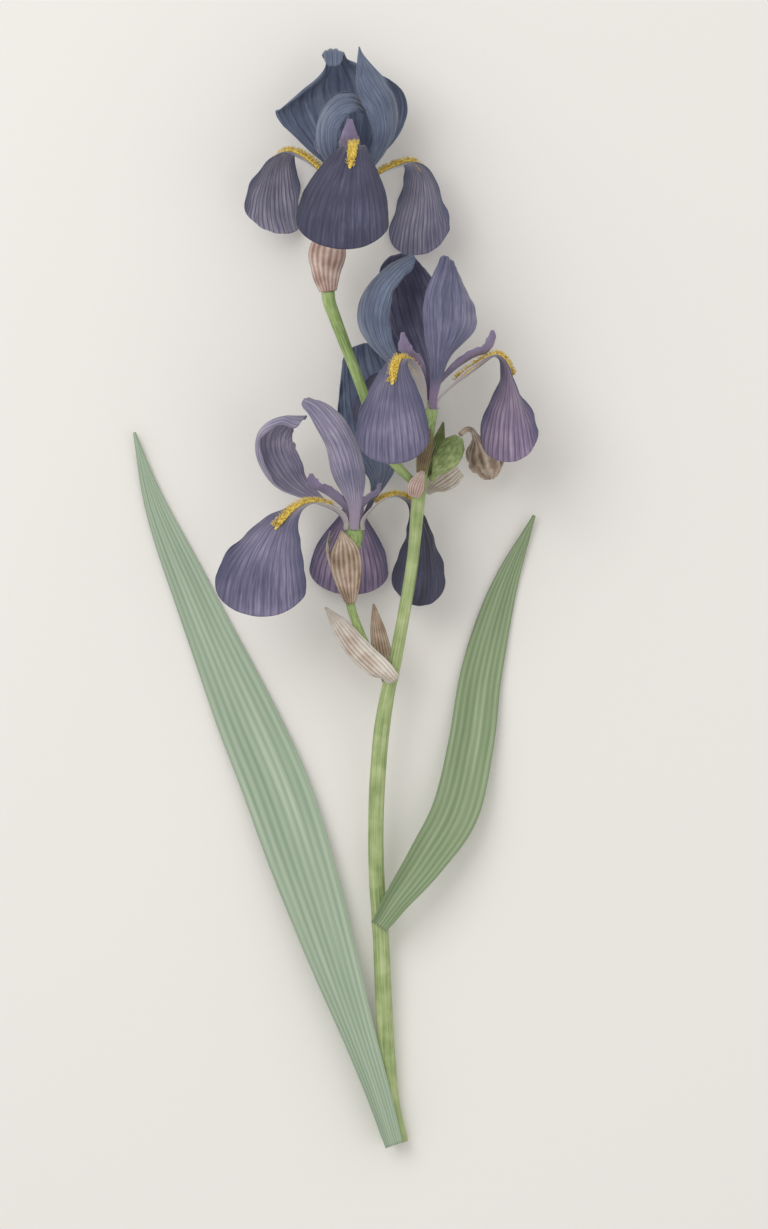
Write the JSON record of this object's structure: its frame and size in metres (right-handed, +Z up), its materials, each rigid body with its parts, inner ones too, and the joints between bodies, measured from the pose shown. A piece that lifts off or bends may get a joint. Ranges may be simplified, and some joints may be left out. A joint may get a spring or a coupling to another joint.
{
  "type": "bearded iris flower stem",
  "caption": "Cut stem of bearded iris lying flat: open blooms with upright and hanging petals, furry beards, papery bracts, a seed capsule and sword-shaped leaves",
  "frame": {"origin": "bottom centre of the box around the whole stem as it lies: the surface it rests on is z = 0", "axes": "+Y runs along the stem from its cut end to the top flower, +Z up from the surface, +X across the stem towards the smaller leaf"},
  "size_m": [0.2226, 0.6072, 0.1031],
  "materials": {
    "petal": "matt standards",
    "fall": "matt falls",
    "style": "soft satin",
    "beard": "furry",
    "stem": "satin",
    "leaf": "matt, ribbed",
    "bract": "dry and papery",
    "capsule": "satin"
  },
  "bodies": {
    "root": {"basal_leaf": "leaf", "bronze_bract": "bract", "green_bract": "bract", "left_bract_front": "bract", "left_bract_side": "bract", "left_flower_beard_back": "beard", "left_flower_beard_left": "beard", "left_flower_beard_right": "beard", "left_flower_fall_back": "fall", "left_flower_fall_left": "fall", "left_flower_fall_right": "fall", "left_flower_stalk": "stem", "left_flower_standard_back": "petal", "left_flower_standard_front": "petal", "left_flower_standard_left": "petal", "left_flower_style_back": "style", "left_flower_style_left": "style", "left_flower_style_right": "style", "left_flower_tube": "stem", "lower_bract_inner": "bract", "lower_bract_outer": "bract", "main_stem": "stem", "middle_bract_left": "bract", "middle_bract_right": "bract", "right_flower_beard_back": "beard", "right_flower_beard_left": "beard", "right_flower_beard_right": "beard", "right_flower_fall_back": "fall", "right_flower_fall_left": "fall", "right_flower_fall_right": "fall", "right_flower_stalk": "stem", "right_flower_standard_back": "petal", "right_flower_standard_left": "petal", "right_flower_standard_right": "petal", "right_flower_style_back": "style", "right_flower_style_left": "style", "right_flower_style_right": "style", "right_flower_tube": "stem", "seed_capsule": "capsule", "stem_leaf": "leaf", "top_bract_back": "bract", "top_bract_front": "bract", "top_branch": "stem", "top_flower_beard_front": "beard", "top_flower_beard_left": "beard", "top_flower_beard_right": "beard", "top_flower_fall_front": "fall", "top_flower_fall_left": "fall", "top_flower_fall_right": "fall", "top_flower_standard_back": "petal", "top_flower_standard_left": "petal", "top_flower_standard_right": "petal", "top_flower_style_front": "style", "top_flower_style_left": "style", "top_flower_style_right": "style", "top_flower_tube": "stem", "withered_flower": "bract"}
  },
  "joints": []
}
